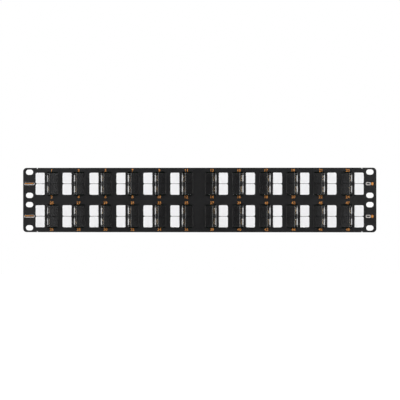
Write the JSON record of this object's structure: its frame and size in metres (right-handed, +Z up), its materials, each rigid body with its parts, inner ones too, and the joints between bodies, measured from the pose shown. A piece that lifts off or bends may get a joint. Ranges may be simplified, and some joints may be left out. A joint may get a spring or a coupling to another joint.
{
  "type": "patch panel",
  "caption": "Two-unit 19-inch rack patch panel with stacked network sockets angled outward, white write-on labels and punch-down blocks behind.",
  "frame": {"origin": "centre of the rack slot pattern, on the rear face of the plate", "axes": "+X along the panel to the right seen from the front, -Y out of the front, +Z up"},
  "size_m": [0.4826, 0.0949, 0.0882],
  "materials": {
    "plate_steel": "satin powder coat",
    "label_card": "satin",
    "jack_plastic": "gloss",
    "contact_gold": "polished",
    "carrier_plastic": "matte",
    "board_laminate": "satin",
    "block_plastic": "satin",
    "clip_metal": "satin",
    "zinc_steel": "satin",
    "arm_steel": "satin powder coat",
    "bar_steel": "satin",
    "black_steel": "satin"
  },
  "bodies": {
    "root": {"face_panel": "plate_steel", "labels_upper_left": "label_card", "labels_upper_right": "label_card", "labels_lower_left": "label_card", "labels_lower_right": "label_card", "jack_shells_01_06": "jack_plastic", "jack_shells_07_12": "jack_plastic", "jack_shells_13_18": "jack_plastic", "jack_shells_19_24": "jack_plastic", "jack_shells_25_30": "jack_plastic", "jack_shells_31_36": "jack_plastic", "jack_shells_37_42": "jack_plastic", "jack_shells_43_48": "jack_plastic", "contact_wires_upper_left": "contact_gold", "contact_wires_upper_right": "contact_gold", "contact_wires_lower_left": "contact_gold", "contact_wires_lower_right": "contact_gold", "contact_carriers_upper_left": "carrier_plastic", "contact_carriers_upper_right": "carrier_plastic", "contact_carriers_lower_left": "carrier_plastic", "contact_carriers_lower_right": "carrier_plastic", "circuit_board_01_06": "board_laminate", "circuit_board_07_12": "board_laminate", "circuit_board_13_18": "board_laminate", "circuit_board_19_24": "board_laminate", "circuit_board_25_30": "board_laminate", "circuit_board_31_36": "board_laminate", "circuit_board_37_42": "board_laminate", "circuit_board_43_48": "board_laminate", "idc_blocks_01_06": "block_plastic", "idc_blocks_07_12": "block_plastic", "idc_blocks_13_18": "block_plastic", "idc_blocks_19_24": "block_plastic", "idc_blocks_25_30": "block_plastic", "idc_blocks_31_36": "block_plastic", "idc_blocks_37_42": "block_plastic", "idc_blocks_43_48": "block_plastic", "idc_clips_upper_left": "clip_metal", "idc_clips_upper_right": "clip_metal", "idc_clips_lower_left": "clip_metal", "idc_clips_lower_right": "clip_metal", "board_standoffs": "zinc_steel", "board_screws": "zinc_steel", "support_arm_left": "arm_steel", "support_arm_right": "arm_steel", "support_bar_upper": "bar_steel", "support_bar_lower": "bar_steel", "arm_screws": "black_steel", "bar_screws": "zinc_steel"}
  },
  "joints": []
}
